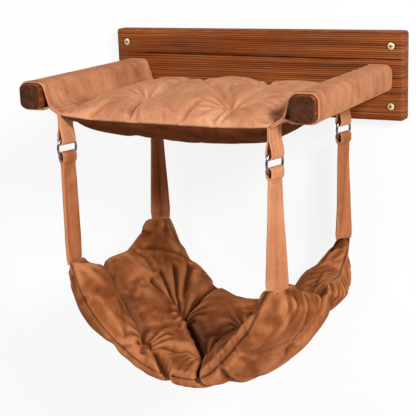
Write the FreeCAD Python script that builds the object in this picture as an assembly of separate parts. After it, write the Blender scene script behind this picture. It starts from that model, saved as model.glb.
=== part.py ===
import FreeCAD, Part
import math
import os

# Cat wall shelf: a wooden board on the wall carries two arms, a padded sling seat is
# sleeved over the arms, and a padded hammock hangs below it on four straps and rings.
# Sizes are millimetres. X runs along the wall, Y into the wall and Z up.
# The origin is the middle of the board's back face, which lies on the wall.

# Wall board
board_width = 420.0
board_height = 113.0
board_thickness = 18.0
board_edge_round = 4.5
board_groove_height = 22.0
board_groove_width = 1.6
board_groove_depth = 1.2

# Arms
arm_side = 30.0
arm_corner_round = 7.5
arm_reach = 252.0
arm_end_inset = 32.5
arm_drop = 2.0
arm_end_round = 2.5

# Screws that hold the arms, driven from behind the board
arm_screw_head_radius = 4.5
arm_screw_neck_radius = 1.65
arm_screw_thread_radius = 2.25
arm_screw_length = 65.0
arm_screw_pitch = 14.0
arm_screw_sunk = 0.5

# Screws that hold the board to the wall
wall_screw_head_radius = 5.0
wall_screw_neck_radius = 1.8
wall_screw_thread_radius = 2.5
wall_screw_length = 60.0
wall_screw_end_inset = 17.0
wall_screw_edge_inset = 18.5
wall_screw_dome = 1.5
cross_slot_length = 5.4
cross_slot_width = 1.5
cross_slot_depth = 1.4
screw_point_length = 6.0
screw_clearance = 0.25

# Cloth
cloth = 1.8
cover_cloth = 1.5
fit = 0.35
cut_overrun = 5.0

# Sleeves round the arms
sleeve_setback = 4.0
sleeve_seam_in = 8.5
sleeve_seam_lift = 3.0
sleeve_seam_radius = 0.6

# Sling seat
seat_arm_inset = 39.5
seat_seam_drop = 24.0
seat_rim = 8.0
seat_rim_arch = 1.5
seat_crown = 26.0
seat_belly = 24.0
seat_sag = 4.0
seat_draw_in = 5.0
seat_wall_gap = 4.0
seat_front_setback = 5.0
seat_tuft_span = 114.0
seat_tuft_top_share = 0.75
seat_tuft_under_share = 0.4
seat_tuft_row_share = 0.5
seat_station_shares = (-1.0, -0.94, -0.8, -0.2, 0.2, 0.8, 0.94, 1.0)
seat_swell_power = 2.6
seat_side_swell_power = 2.6

# Rings
ring_drop = 65.0
ring_radius = 14.0
ring_wire_radius = 1.5

# Tabs and straps
strap_front_inset = 16.0
strap_rear_inset = 22.0
strap_loop_width = 21.0
strap_foot_width = 27.0
strap_merge_radius = 0.6
strap_merge_drop = 19.0
strap_foot_drop = 216.0
strap_sections = 7
foot_stitch_radius = 2.0
foot_clearance = 0.5
side_swing_degrees = 14.0
ring_set_degrees = 15.0
strap_turn_degrees = {
    "front_left": -12.0,
    "front_right": 30.0,
    "rear_left": 40.0,
    "rear_right": 10.0,
}

# Hammock
hammock_overhang = 6.0
hammock_rim = 8.0
hammock_left_rim_sag = 9.0
hammock_right_rim_sag = 42.0
hammock_rim_spread = 19.0
hammock_depth = 113.0
hammock_belly = 8.0
hammock_tilt = 6.0
hammock_lean = 7.0
hammock_crown = 20.0
hammock_under = 29.0
hammock_tuft_top_share = 0.85
hammock_tuft_under_share = 0.5
hammock_tuft_row_shares = (-0.57, 0.25)
hammock_tuft_knot_shares = (-0.43, 0.09)
hammock_side_knot_share = 0.58
hammock_station_shares = (-1.0, -0.94, -0.8, -0.16, 0.6, 0.8, 0.94, 1.0)
hammock_swell_power = 2.4
hammock_side_swell_power = 2.3
hammock_curve_power = 2.9

# Thread ties that pull the tufts in
tie_radius = 1.2
tie_stub = 1.5
tuft_spread_share = 0.24

# Places that several pieces share
board_front = -board_thickness
wall_screw_x = board_width / 2 - wall_screw_end_inset
wall_screw_z = board_height / 2 - wall_screw_edge_inset
arm_front = board_front - arm_reach
arm_x = board_width / 2 - arm_end_inset
seat_x = arm_x - seat_arm_inset
seat_width = 2 * seat_x
seat_tuft_columns = (-seat_tuft_span / seat_width, seat_tuft_span / seat_width)
seat_tuft_rows = (-seat_tuft_row_share, seat_tuft_row_share)
sleeve_front = arm_front + sleeve_setback
sleeve_back = board_front - fit
seat_front = arm_front + seat_front_setback
seat_back = board_front - seat_wall_gap
strap_rows = {"front": arm_front + strap_front_inset, "rear": board_front - strap_rear_inset}
sides = {"left": -1, "right": 1}
corners = [(row, side) for row in strap_rows for side in sides]

# The straight cloth fold in a ring lies on the chord at the cloth's two edges
chord_rise = math.sqrt(ring_radius**2 - (strap_loop_width / 2) ** 2)
wire_low = math.sqrt((ring_radius - ring_wire_radius) ** 2 - (strap_loop_width / 2) ** 2)
wire_arch = ring_radius - chord_rise
fold_radius = chord_rise - wire_low + fit
throat_radius = wire_arch * math.sin(math.radians(side_swing_degrees)) + ring_wire_radius + fit
strap_thickness = 2 * cloth


def point(x, y, z):
    return FreeCAD.Vector(x, y, z)


def line(start, end):
    return Part.LineSegment(start, end).toShape()


def arc(start, middle, end):
    return Part.Arc(start, middle, end).toShape()


def arcs_through(points):
    """Arcs in a chain: each takes an end, a middle and an end, and shares its ends."""
    return [arc(points[i], points[i + 1], points[i + 2]) for i in range(0, len(points) - 2, 2)]


def belt(circles, grow, y):
    """The tight loop round circles (x, z, radius), given counter-clockwise, at depth y."""
    count = len(circles)
    normals = []
    for i in range(count):
        x1, z1, r1 = circles[i]
        x2, z2, r2 = circles[(i + 1) % count]
        length = math.hypot(x2 - x1, z2 - z1)
        ux, uz = (x2 - x1) / length, (z2 - z1) / length
        lean = (r1 - r2) / length
        across = math.sqrt(1 - lean**2)
        normals.append((ux * lean + uz * across, uz * lean - ux * across))
    turns = []
    for i in range(count):
        start = math.atan2(normals[i - 1][1], normals[i - 1][0])
        end = math.atan2(normals[i][1], normals[i][0])
        turns.append((start, start + (end - start) % (2 * math.pi)))
    edges = []
    for i in range(count):
        x, z, radius = circles[i]
        radius += grow
        start, end = turns[i]
        on = [
            point(x + radius * math.cos(a), y, z + radius * math.sin(a))
            for a in (start, (start + end) / 2, end)
        ]
        edges.append(arc(*on))
        x2, z2, radius2 = circles[(i + 1) % count]
        radius2 += grow
        a = turns[(i + 1) % count][0]
        edges.append(line(on[2], point(x2 + radius2 * math.cos(a), y, z2 + radius2 * math.sin(a))))
    return Part.Wire(edges)


def cloth_loop(circles, front, back):
    """A loop of cloth round circles, running from front to back."""
    outer = Part.Face(belt(circles, cloth, front))
    inner = Part.Face(belt(circles, 0, front))
    return outer.cut(inner).extrude(point(0, back - front, 0))


def turned(outline, cap):
    """A solid of revolution about Z: a cap from the axis to the outline, which ends on the axis."""
    edges = [cap] + [line(a, b) for a, b in zip(outline, outline[1:])]
    edges.append(line(outline[-1], cap.Vertexes[0].Point))
    return Part.Face(Part.Wire(edges)).revolve(point(0, 0, 0), point(0, 0, 1), 360)


def screw(head_radius, neck_radius, thread_radius, grip, length, dome):
    """A countersunk wood screw along -Z: its head's rim at Z zero, a plain neck, then the thread."""
    outline = [
        point(head_radius, 0, 0),
        point(neck_radius, 0, neck_radius - head_radius),
        point(neck_radius, 0, -grip),
        point(thread_radius, 0, -grip),
        point(thread_radius, 0, screw_point_length - length),
        point(0, 0, -length),
    ]
    cap = line(point(0, 0, 0), outline[0])
    if dome > 0:
        sphere = (head_radius**2 + dome**2) / (2 * dome)
        half = math.asin(head_radius / sphere) / 2
        on = point(sphere * math.sin(half), 0, dome - sphere * (1 - math.cos(half)))
        cap = arc(point(0, 0, dome), on, outline[0])
    slots = [
        Part.makeBox(x, y, cross_slot_depth, point(-x / 2, -y / 2, dome - cross_slot_depth))
        for x, y in ((cross_slot_length, cross_slot_width), (cross_slot_width, cross_slot_length))
    ]
    return turned(outline, cap).cut(slots)


def screw_hole(head_radius, thread_radius, length):
    """The countersunk hole that a screw is driven into, along -Z."""
    head, bore = head_radius + screw_clearance, thread_radius + screw_clearance
    end = -length - screw_clearance
    outline = [
        point(head, 0, 0),
        point(bore, 0, bore - head),
        point(bore, 0, end + screw_point_length),
        point(0, 0, end),
    ]
    return turned(outline, line(point(0, 0, 0), outline[0]))


def aimed(shape, place, head_to_wall):
    """A screw laid so that its head faces the wall or the room, and set at its place."""
    laid = shape.copy()
    laid.rotate(point(0, 0, 0), point(1, 0, 0), -90 if head_to_wall else 90)
    laid.translate(place)
    return laid


def wall_screw_places():
    return [
        point(x * wall_screw_x, board_front, z * wall_screw_z)
        for x in (-1, 1)
        for z in (-1, 1)
    ]


def arm_screw_places():
    return [
        point(x * arm_x, -arm_screw_sunk, -arm_drop + z * arm_screw_pitch / 2)
        for x in (-1, 1)
        for z in (-1, 1)
    ]


def wall_screws():
    one = screw(
        wall_screw_head_radius,
        wall_screw_neck_radius,
        wall_screw_thread_radius,
        board_thickness,
        wall_screw_length,
        wall_screw_dome,
    )
    return Part.makeCompound([aimed(one, place, False) for place in wall_screw_places()])


def arm_screws():
    one = screw(
        arm_screw_head_radius,
        arm_screw_neck_radius,
        arm_screw_thread_radius,
        board_thickness - arm_screw_sunk,
        arm_screw_length,
        0,
    )
    return Part.makeCompound([aimed(one, place, True) for place in arm_screw_places()])


def screw_holes():
    """What the screws take out of the wood, with the sunk heads' mouths."""
    wall_hole = screw_hole(wall_screw_head_radius, wall_screw_thread_radius, wall_screw_length)
    arm_hole = screw_hole(arm_screw_head_radius, arm_screw_thread_radius, arm_screw_length)
    mouth = Part.makeCylinder(
        arm_screw_head_radius + screw_clearance, arm_screw_sunk + cut_overrun, point(0, 0, 0)
    )
    holes = [aimed(wall_hole, place, False) for place in wall_screw_places()]
    for place in arm_screw_places():
        holes.append(aimed(arm_hole, place, True))
        holes.append(aimed(mouth, place, True))
    return holes


def wall_board():
    body = Part.makeBox(
        board_width,
        board_thickness,
        board_height,
        point(-board_width / 2, board_front, -board_height / 2),
    )
    front_edges = [e for e in body.Edges if e.BoundBox.YMin < board_front / 2]
    body = body.makeFillet(board_edge_round, front_edges)
    mouth = board_groove_width / 2
    groove = Part.Face(
        Part.makePolygon(
            [
                point(-board_width, board_front, board_groove_height - mouth),
                point(-board_width, board_front, board_groove_height + mouth),
                point(-board_width, board_front + board_groove_depth, board_groove_height),
                point(-board_width, board_front, board_groove_height - mouth),
            ]
        )
    ).extrude(point(2 * board_width, 0, 0))
    return body.cut([groove] + screw_holes())


def arm(side):
    """A rounded square bar that butts against the board, with an eased front end."""
    half = arm_side / 2 - arm_corner_round
    circles = [(side * arm_x + x * half, -arm_drop + z * half, arm_corner_round) for x, z in arm_corners]
    bar = Part.Face(belt(circles, 0, arm_front)).extrude(point(0, arm_reach, 0))
    end_edges = [e for e in bar.Edges if e.BoundBox.YMax < arm_front + arm_end_round]
    return bar.makeFillet(arm_end_round, end_edges).cut(screw_holes())


def sleeve(side):
    """The seat's side wrapped over an arm, closed by a flat double seam inboard of it."""
    half = arm_side / 2 - arm_corner_round
    loop = [
        (x * half + arm_x, z * half - arm_drop, arm_corner_round + fit)
        for x, z in arm_corners
    ]
    seam_x = arm_x - arm_side / 2 - sleeve_seam_in
    seam_z = sleeve_seam_lift - arm_drop - arm_side / 2
    loop.insert(3, (seam_x, seam_z, sleeve_seam_radius))
    body = cloth_loop(loop, sleeve_front, sleeve_back)
    run = point(seat_x - seam_x, 0, -seat_seam_drop - seam_z)
    across = point(-run.z, 0, run.x) / run.Length * cloth
    start = point(seam_x, sleeve_front, seam_z) + run / run.Length * sleeve_seam_radius
    end = point(seat_x, sleeve_front, -seat_seam_drop)
    reach = run / run.Length * cloth
    tail_ends = [start + across, end + reach + across, end + reach - across, start - across]
    tail = Part.Face(Part.makePolygon(tail_ends + tail_ends[:1]))
    tail = tail.extrude(point(0, sleeve_back - sleeve_front, 0))
    seat_side = Part.makeBox(
        seat_width, arm_reach + board_thickness, board_height, point(-seat_x, arm_front, -board_height)
    )
    hollow = Part.Face(belt(loop, 0, sleeve_front)).extrude(point(0, sleeve_back - sleeve_front, 0))
    body = body.fuse(tail.cut([seat_side, hollow])).removeSplitter()
    return body if side > 0 else mirrored(body)


def mirrored(shape):
    return shape.mirror(point(0, 0, 0), point(1, 0, 0))


# Unit corners of an arm's section, counter-clockwise from the outer bottom one
arm_corners = ((1, -1), (1, 1), (-1, 1), (-1, -1))


def swell(share, power):
    """Fullness of a stuffed form from its middle, 1, to its sewn edge, 0."""
    return (1 - abs(share) ** power) ** (1 / power)


def pinch(share, row_shares):
    """How strongly the tufts pull at this place: 1 on a row, fading on each side."""
    return max(math.exp(-(((share - row) / tuft_spread_share) ** 2)) for row in row_shares)


def seat_point(across, along, face, inset):
    """A point of the seat: shares across and along it, on its top 1, middle 0 or under side -1."""
    draw = seat_draw_in * (1 - across**2)
    middle_y = (seat_front + seat_back) / 2
    half_y = (seat_back - seat_front) / 2 - draw - inset
    x = across * (seat_x - fit - inset)
    y = middle_y + along * half_y
    sag = seat_sag * (1 - across**2) * (1 - along**2)
    tuft = pinch(across, seat_tuft_columns) * pinch(along, seat_tuft_rows)
    full = swell(across, seat_side_swell_power) * swell(along, seat_swell_power)
    full *= 1 - (seat_tuft_top_share if face > 0 else seat_tuft_under_share) * tuft
    stuffing = seat_crown if face > 0 else seat_belly
    height = seat_rim / 2 + seat_rim_arch * (1 - along**2) + stuffing * full - inset
    return point(x, y, -seat_seam_drop - sag + face * height)


def hammock_point(along, across, face, inset):
    """A point of the hammock: shares front to back and round its sling, on a face as above."""
    front, rear = strap_rows["front"] - hammock_overhang, strap_rows["rear"] + hammock_overhang
    y = (front + rear) / 2 + along * ((rear - front) / 2 - inset)
    steep = math.atan(hammock_curve_power * hammock_depth / seat_x)
    foot_gap = foot_stitch_radius + foot_clearance
    foot_share = (strap_rows["rear"] - strap_rows["front"]) / (rear - front)
    bow = 1 - (along / foot_share) ** 2
    half_x = seat_x - foot_gap * math.cos(steep) + hammock_rim_spread * bow
    rim_sag = hammock_left_rim_sag if across < 0 else hammock_right_rim_sag
    rim_z = -strap_foot_drop - foot_gap * math.sin(steep) - rim_sag * bow**2
    low_z = -strap_foot_drop - hammock_depth - hammock_belly * (1 - along**2) + hammock_tilt * along
    fall = rim_z - low_z
    reach = across * (1 - inset / math.hypot(half_x, hammock_curve_power * fall))
    slope = math.copysign(abs(reach) ** (hammock_curve_power - 1), reach)
    slope *= hammock_curve_power * fall / (half_x - 2 * hammock_lean * reach)
    tuft = pinch(along, hammock_tuft_row_shares) * pinch(across, hammock_tuft_knot_shares)
    full = swell(along, hammock_swell_power) * swell(across, hammock_side_swell_power)
    full *= 1 - (hammock_tuft_top_share if face > 0 else hammock_tuft_under_share) * tuft
    stuffing = hammock_crown if face > 0 else hammock_under
    height = face * (hammock_rim / 2 + stuffing * full - inset) / math.hypot(1, slope)
    z = rim_z - fall * (1 - abs(reach) ** hammock_curve_power)
    x = reach * half_x + hammock_lean * (1 - reach**2)
    return point(x - height * slope, y, z + height)


def with_middles(ends):
    """Shares of arc ends with the middle of each arc put between them."""
    shares = [ends[0]]
    for start, end in zip(ends, ends[1:]):
        shares += [(start + end) / 2, end]
    return shares


def quilted_pad(place, stations, tuft_stations, tuft_knots, side_knots, inset):
    """A stuffed form lofted through closed sections of arcs, with a sewn rim all round."""
    knots = with_middles([-1.0, *tuft_knots, *side_knots, 1.0])
    sections = []
    for station in sorted({*stations, *tuft_stations}):
        top = [place(station, knot, 1, inset) for knot in knots]
        under = [place(station, knot, -1, inset) for knot in reversed(knots)]
        edges = arcs_through(top) + [line(top[-1], under[0])]
        edges += arcs_through(under) + [line(under[-1], top[0])]
        sections.append(Part.Wire(edges))
    return Part.makeLoft(sections, True, False)


def tie(place, station, knot, grow):
    """A tufting thread through a pad, from below its under side to above its top."""
    low, high = place(station, knot, -1, 0), place(station, knot, 1, 0)
    way = (high - low) / (high - low).Length
    length = (high - low).Length + 2 * (tie_stub + grow)
    return Part.makeCylinder(tie_radius + grow, length, low - way * (tie_stub + grow), way)


def pad_set(place, stations, tuft_stations, tuft_knots, side_knots):
    """The cover, its filling and its tufting ties."""
    spots = [(station, knot) for station in tuft_stations for knot in tuft_knots]
    holes = [tie(place, s, k, fit) for s, k in spots]
    outer, hollow, filling = [
        quilted_pad(place, stations, tuft_stations, tuft_knots, side_knots, inset)
        for inset in (0, cover_cloth, cover_cloth + fit)
    ]
    ties = [tie(place, s, k, 0) for s, k in spots]
    return outer.cut([hollow] + holes), filling.cut(holes), Part.makeCompound(ties)


def hung(shape, row, side):
    """A ring or a loop turned about its corner's plumb line, as all four hang."""
    turned = shape.copy()
    turned.rotate(point(sides[side] * seat_x, strap_rows[row], 0), point(0, 0, 1), -ring_set_degrees)
    return turned


def ring(row, side):
    middle = point(sides[side] * seat_x, strap_rows[row], -ring_drop)
    return hung(Part.makeTorus(ring_radius, ring_wire_radius, middle, point(1, 0, 0)), row, side)


def ring_loop(row, side, up, far_z):
    """A cloth loop folded over the ring's wire, above it or below it, closing at far_z."""
    x = sides[side] * seat_x
    fold = (x, -ring_drop + up * chord_rise, fold_radius)
    throat = (x, -ring_drop + up * ring_radius, throat_radius)
    close = (x, far_z, strap_merge_radius)
    front = strap_rows[row] - strap_loop_width / 2
    loop = cloth_loop([fold, throat, close, throat], front, front + strap_loop_width)
    return hung(loop, row, side)


def tab(row, side):
    """A loop that hangs from the seat's side seam, cut to the seat's under side."""
    loop = ring_loop(row, side, 1, -seat_seam_drop - seat_rim / 2 - strap_merge_radius - cloth)
    return loop.cut(seat_room)


def strap(row, side):
    """A folded loop at the ring, then a flat strap that widens, turns and ends in a round foot."""
    x, y = sides[side] * seat_x, strap_rows[row]
    merge_z = -ring_drop - strap_merge_drop
    loop = ring_loop(row, side, -1, merge_z)
    start_z = merge_z - strap_merge_radius - cloth / 2
    foot_z = foot_stitch_radius + fit + strap_foot_width / 2 - strap_foot_drop
    sections = []
    for i in range(strap_sections):
        share = i / (strap_sections - 1)
        turn = 90 - ring_set_degrees - strap_turn_degrees[f"{row}_{side}"] * share
        turn = math.radians(turn)
        width = strap_loop_width + (strap_foot_width - strap_loop_width) * share
        middle = point(x, y, start_z + (foot_z - start_z) * share)
        wide = point(math.cos(turn), math.sin(turn), 0)
        thick = point(-math.sin(turn), math.cos(turn), 0) * strap_thickness / 2
        half = wide * width / 2
        ends = [middle + half + thick, middle - half + thick, middle - half - thick, middle + half - thick]
        sections.append(Part.makePolygon(ends + ends[:1]))
    body = Part.makeLoft(sections, True, False)
    half = wide * strap_foot_width / 2
    tip = middle - point(0, 0, strap_foot_width / 2)
    foot_edge = Part.Wire([line(middle - half, middle + half), arc(middle + half, tip, middle - half)])
    foot_edge.translate(-thick)
    foot = Part.Face(foot_edge).extrude(thick * 2)
    return loop.fuse([body, foot]).removeSplitter()


def foot_stitch(row, side):
    """The knot of thread that sews a strap's foot to the hammock's corner."""
    return Part.makeSphere(foot_stitch_radius, point(sides[side] * seat_x, strap_rows[row], -strap_foot_drop))


seat_form = (seat_point, seat_station_shares, seat_tuft_columns, seat_tuft_rows, ())
seat_cover, seat_filling, seat_ties = pad_set(*seat_form)
seat_room = quilted_pad(*seat_form, -fit)
hammock_form = (
    hammock_point,
    hammock_station_shares,
    hammock_tuft_row_shares,
    hammock_tuft_knot_shares,
    (hammock_side_knot_share,),
)
hammock_cover, hammock_filling, hammock_ties = pad_set(*hammock_form)
nodes = {
    "wall_board": wall_board(),
    "wall_screws": wall_screws(),
    "arm_screws": arm_screws(),
    "seat_cover": seat_cover,
    "seat_filling": seat_filling,
    "seat_tuft_ties": seat_ties,
    "hammock_cover": hammock_cover,
    "hammock_filling": hammock_filling,
    "hammock_tuft_ties": hammock_ties,
}
for name, sign in sides.items():
    nodes[f"{name}_arm"] = arm(sign)
    nodes[f"{name}_sleeve"] = sleeve(sign)
for row, side in corners:
    nodes[f"{row}_{side}_tab"] = tab(row, side)
    nodes[f"{row}_{side}_ring"] = ring(row, side)
    nodes[f"{row}_{side}_strap"] = strap(row, side)
    nodes[f"{row}_{side}_foot_stitch"] = foot_stitch(row, side)

os.makedirs("parts", exist_ok=True)
for name, shape in nodes.items():
    shape.exportStep(f"parts/{name}.step")
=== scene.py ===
import math

import bmesh
import bpy
import numpy as np
from mathutils import Matrix, Vector, noise


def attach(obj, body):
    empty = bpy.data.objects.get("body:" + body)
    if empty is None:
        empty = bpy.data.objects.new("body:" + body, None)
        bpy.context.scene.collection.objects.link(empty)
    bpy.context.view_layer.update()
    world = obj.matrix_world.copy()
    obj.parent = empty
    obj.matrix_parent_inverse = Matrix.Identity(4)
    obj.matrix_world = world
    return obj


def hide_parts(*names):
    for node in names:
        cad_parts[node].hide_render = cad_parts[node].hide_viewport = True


# Cat wall shelf: a stained board with two arms on a wall, a tufted velvet seat slung between
# the arms and a deep tufted velvet hammock below it. Shapes are worked out in millimetres in
# the frame's axes: X along the wall, Y into it, Z up.

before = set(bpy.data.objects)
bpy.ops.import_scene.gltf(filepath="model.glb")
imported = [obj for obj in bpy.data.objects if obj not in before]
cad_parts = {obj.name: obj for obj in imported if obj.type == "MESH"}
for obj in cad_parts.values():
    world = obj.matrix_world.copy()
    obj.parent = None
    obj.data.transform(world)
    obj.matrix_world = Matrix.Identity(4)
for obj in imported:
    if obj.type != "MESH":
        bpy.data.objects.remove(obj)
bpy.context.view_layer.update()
scene = bpy.context.scene
MM = 0.001

# Sizes shared with the frame
BOARD = (420.0, 18.0, 113.0)
BOARD_ROUND = 4.5
GROOVE_Z = 22.0
ARM_X, ARM_Z, ARM_HALF = 177.5, -2.0, 15.0
SLEEVE_FRONT, SLEEVE_BACK = -263.5, -18.4
CLOTH = 1.8
CLOTH_FIT = 0.35
SEAM_X, SEAM_Z = 154.0, -14.0
SEAT_X, SEAT_Z = 138.0, -24.0
SEAT_FRONT, SEAT_BACK = -265.0, -22.0
RING_Z, RING_RADIUS = -65.0, 14.0
FOOT_Z = -216.0
STRAP_Y = {"front": -254.0, "rear": -40.0}
SIDES = {"left": -1, "right": 1}
CORNERS = [(row, side) for row in STRAP_Y for side in SIDES]
LOOP_WIDTH, FOOT_WIDTH = 21.0, 27.0
LOOP_DEGREES = 75.0
STRAP_TURN = {"front_left": -12.0, "front_right": 30.0, "rear_left": 40.0, "rear_right": 10.0}
SCREW_X, SCREW_Z = 193.0, 38.0


# Geometry helpers


def unit(vectors):
    """Vectors at length one, over the last axis."""
    length = np.linalg.norm(vectors, axis=-1, keepdims=True)
    return vectors / np.maximum(length, 1e-9)


def mix(a, b, share):
    return a + (b - a) * share


def ease(low, high, value):
    """A smooth step from 0 at low to 1 at high."""
    t = np.clip((value - low) / (high - low), 0.0, 1.0)
    return t * t * (3 - 2 * t)


def bell(distance, width):
    return np.exp(-((distance / width) ** 2))


def rough(x, y, z):
    """Smooth noise from about -1 to 1 at arrays of places, one unit to a lump."""
    places = np.stack(np.broadcast_arrays(x, y, z), axis=-1).reshape(-1, 3)
    values = np.array([noise.noise(Vector(p)) for p in places])
    return values.reshape(np.broadcast(x, y, z).shape)


def grid_faces(rows, columns, first=0, flip=False):
    faces = []
    for i in range(rows - 1):
        for j in range(columns - 1):
            a = first + i * columns + j
            face = (a, a + columns, a + columns + 1, a + 1)
            faces.append(face[::-1] if flip else face)
    return faces


def border(rows, columns):
    """Grid places round the edge of a grid, in order."""
    loop = [(0, j) for j in range(columns - 1)]
    loop += [(i, columns - 1) for i in range(rows - 1)]
    loop += [(rows - 1, j) for j in range(columns - 1, 0, -1)]
    loop += [(i, 0) for i in range(rows - 1, 0, -1)]
    return loop


EDGE_SHARE = 0.4


def surface_normals(grid):
    return unit(np.cross(np.gradient(grid, axis=0), np.gradient(grid, axis=1)))


def slab(grid, thickness):
    """Points and faces of cloth along a grid of points, with a rounded edge all round."""
    rows, columns = grid.shape[:2]
    thickness = np.broadcast_to(np.asarray(thickness, float), (rows, columns))[..., None]
    normals = surface_normals(grid)
    upper = grid + normals * thickness / 2
    lower = grid - normals * thickness / 2
    loop = border(rows, columns)
    rim = []
    for i, j in loop:
        inner = grid[min(max(i, 1), rows - 2), min(max(j, 1), columns - 2)]
        rim.append(grid[i, j] + unit(grid[i, j] - inner) * thickness[i, j] * EDGE_SHARE)
    count = rows * columns
    points = np.concatenate([upper.reshape(-1, 3), lower.reshape(-1, 3), np.array(rim)])
    faces = grid_faces(rows, columns, 0) + grid_faces(rows, columns, count, True)
    for k, (i, j) in enumerate(loop):
        k2 = (k + 1) % len(loop)
        i2, j2 = loop[k2]
        a, b = i * columns + j, i2 * columns + j2
        ra, rb = 2 * count + k, 2 * count + k2
        faces.append((a, b, rb, ra))
        faces.append((ra, rb, b + count, a + count))
    return points, faces


def rounded_path(corners, radii, step):
    """Points about a step apart along a plane polyline whose inner corners are rounded."""
    corners = [np.array(c, float) for c in corners]
    path = [corners[0]]
    for before, corner, after, radius in zip(corners, corners[1:], corners[2:], radii):
        u, v = unit(before - corner), unit(after - corner)
        half = math.acos(np.clip(u @ v, -1, 1)) / 2
        reach = radius / math.tan(half)
        centre = corner + unit(u + v) * radius / math.sin(half)
        start, end = corner + u * reach - centre, corner + v * reach - centre
        turn = math.pi - 2 * half
        count = max(3, int(radius * turn / step) + 2)
        for share in np.linspace(0, 1, count):
            w1 = math.sin((1 - share) * turn) / math.sin(turn)
            w2 = math.sin(share * turn) / math.sin(turn)
            path.append(centre + start * w1 + end * w2)
    path.append(corners[-1])
    return spaced(np.array(path), step)


def run_lengths(path):
    """How far along a path each of its points lies."""
    return np.r_[0, np.cumsum(np.linalg.norm(np.diff(path, axis=0), axis=1))]


def spaced(path, step):
    """The same path with its points evenly spaced."""
    lengths = run_lengths(path)
    count = max(2, int(round(lengths[-1] / step)) + 1)
    at = np.linspace(0, lengths[-1], count)
    return np.stack([np.interp(at, lengths, path[:, k]) for k in range(path.shape[1])], axis=1)


def mesh_object(name, points, faces, material):
    """A smooth mesh object from points in millimetres."""
    mesh = bpy.data.meshes.new(name)
    mesh.from_pydata((np.asarray(points) * MM).tolist(), [], faces)
    mesh.materials.append(material)
    mesh.polygons.foreach_set("use_smooth", [True] * len(mesh.polygons))
    mesh.update()
    obj = bpy.data.objects.new(name, mesh)
    scene.collection.objects.link(obj)
    return obj


def outward(obj):
    """Turns all faces to look outwards."""
    bm = bmesh.new()
    bm.from_mesh(obj.data)
    bmesh.ops.recalc_face_normals(bm, faces=bm.faces)
    if bm.calc_volume(signed=True) < 0:
        bmesh.ops.reverse_faces(bm, faces=bm.faces)
    bm.to_mesh(obj.data)
    bm.free()


def merge_points(obj, distance):
    """Joins the points of a mesh that lie within a distance of each other."""
    bm = bmesh.new()
    bm.from_mesh(obj.data)
    bmesh.ops.remove_doubles(bm, verts=bm.verts, dist=distance * MM)
    bm.to_mesh(obj.data)
    bm.free()


def mark_points(obj, name, values):
    obj.data.attributes.new(name, "FLOAT", "POINT").data.foreach_set("value", values)


def fitted(obj, body, slot, *nodes):
    """Sets a piece on its body and hides the solids that it stands for; its finish is not used."""
    outward(obj)
    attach(obj, body)
    if nodes:
        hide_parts(*nodes)
    return obj


def joined(parts):
    """Several lots of points and faces as one."""
    points, faces = [], []
    for some, loops in parts:
        first = sum(len(p) for p in points)
        points.append(np.asarray(some))
        faces += [tuple(i + first for i in loop) for loop in loops]
    return np.concatenate(points), faces


def tube_faces(rings, sides):
    """Faces of a closed tube of rings of points, with its two ends."""
    faces = []
    for a in range(0, (rings - 1) * sides, sides):
        for k in range(sides):
            k2 = (k + 1) % sides
            faces.append((a + k, a + k2, a + sides + k2, a + sides + k))
    last = (rings - 1) * sides
    return faces + [tuple(range(sides))[::-1], tuple(range(last, last + sides))]


STITCH_SIDES = 6
STITCH_RINGS = ((-1.0, 0.25), (-0.7, 0.85), (0.0, 1.0), (0.7, 0.85), (1.0, 0.25))


def stitch_row(line, normals, length=2.4, gap=1.2, radius=0.32):
    """Points and faces of a row of thread stitches along a line of points."""
    runs = run_lengths(line)
    parts = []
    for middle in np.arange(length, runs[-1] - length / 2, length + gap):
        at = [np.array([np.interp(d, runs, line[:, k]) for k in range(3)])
              for d in (middle - length / 2, middle, middle + length / 2)]
        up = unit(np.array([np.interp(middle, runs, normals[:, k]) for k in range(3)]))
        way = unit(at[2] - at[0])
        side = np.cross(way, up)
        points = []
        for share, fat in STITCH_RINGS:
            centre = at[1] + way * share * length / 2 + up * radius * (0.55 - share * share * 0.6)
            for k in range(STITCH_SIDES):
                a = 2 * math.pi * k / STITCH_SIDES
                points.append(centre + (side * math.cos(a) + up * math.sin(a)) * radius * fat)
        parts.append((points, tube_faces(len(STITCH_RINGS), STITCH_SIDES)))
    return joined(parts)


# Materials


def linear(red, green, blue):
    """A colour given as it looks on screen, 0 to 255, as the shader takes it."""
    return tuple(((c / 255 + 0.055) / 1.055) ** 2.4 for c in (red, green, blue)) + (1.0,)


def dimmed(colour, share):
    return tuple(c * share for c in colour[:3]) + (1.0,)


EVEN = (1, 1, 1)


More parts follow.
